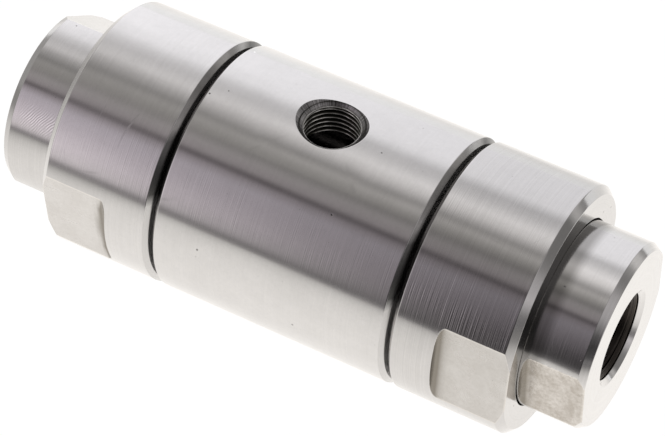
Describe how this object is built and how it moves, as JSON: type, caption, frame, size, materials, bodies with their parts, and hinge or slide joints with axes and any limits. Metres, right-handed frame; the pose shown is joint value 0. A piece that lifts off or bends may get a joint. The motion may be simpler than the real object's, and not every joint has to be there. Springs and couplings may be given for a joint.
{
  "type": "pneumatic pinch valve",
  "caption": "Stainless steel inline pinch valve: round housing with a threaded air port, a rubber hose sleeve, flatted screw caps and threaded pipe sockets.",
  "frame": {"origin": "centre of the valve, on the axis of the flow passage, level with the control port", "axes": "+X along the flow passage towards the right pipe socket, +Z out of the control port, +Y completes a right-handed frame"},
  "size_m": [0.0992, 0.04, 0.04],
  "materials": {
    "turned_steel": "turned stainless steel, satin, with fine rings round the axis and small pits",
    "cap_steel": "turned stainless steel, satin, with coarser tool rings and milled flats",
    "socket_steel": "turned stainless steel with a faced end, milled flats and a few pits",
    "sleeve_rubber": "matt black elastomer"
  },
  "bodies": {
    "housing": {"housing": "turned_steel", "sleeve": "sleeve_rubber"},
    "upper_lip": {"sleeve_upper_lip": "sleeve_rubber"},
    "lower_lip": {"sleeve_lower_lip": "sleeve_rubber"},
    "right_socket": {"right_socket": "socket_steel"},
    "right_cap": {"right_cap": "cap_steel"},
    "left_socket": {"left_socket": "socket_steel"},
    "left_cap": {"left_cap": "cap_steel"}
  },
  "joints": [
    {"name": "upper_lip_close", "type": "slide", "parent": "housing", "child": "upper_lip", "axis": [0, 0, -1], "range_m": [0, 0.0035], "stiffness_N_per_m": 2000},
    {"name": "lower_lip_close", "type": "slide", "parent": "housing", "child": "lower_lip", "axis": [0, 0, 1], "range_m": [0, 0.0035], "stiffness_N_per_m": 2000},
    {"name": "right_socket_travel", "type": "slide", "parent": "housing", "child": "right_socket", "axis": [1, 0, 0], "range_m": [0, 0.0075]},
    {"name": "right_cap_turn", "type": "hinge", "parent": "right_socket", "child": "right_cap", "pos_m": [0, 0, 0], "axis": [1, 0, 0], "range_deg": [0, 1800]},
    {"name": "left_socket_travel", "type": "slide", "parent": "housing", "child": "left_socket", "axis": [-1, 0, 0], "range_m": [0, 0.0075]},
    {"name": "left_cap_turn", "type": "hinge", "parent": "left_socket", "child": "left_cap", "pos_m": [0, 0, 0], "axis": [-1, 0, 0], "range_deg": [0, 1800]}
  ],
  "couplings": [
    {"joint": "lower_lip_close", "follows": "upper_lip_close", "ratio": 1},
    {"joint": "right_cap_turn", "follows": "right_socket_travel", "rad_per_m": 4188.8},
    {"joint": "left_cap_turn", "follows": "left_socket_travel", "rad_per_m": 4188.8}
  ]
}
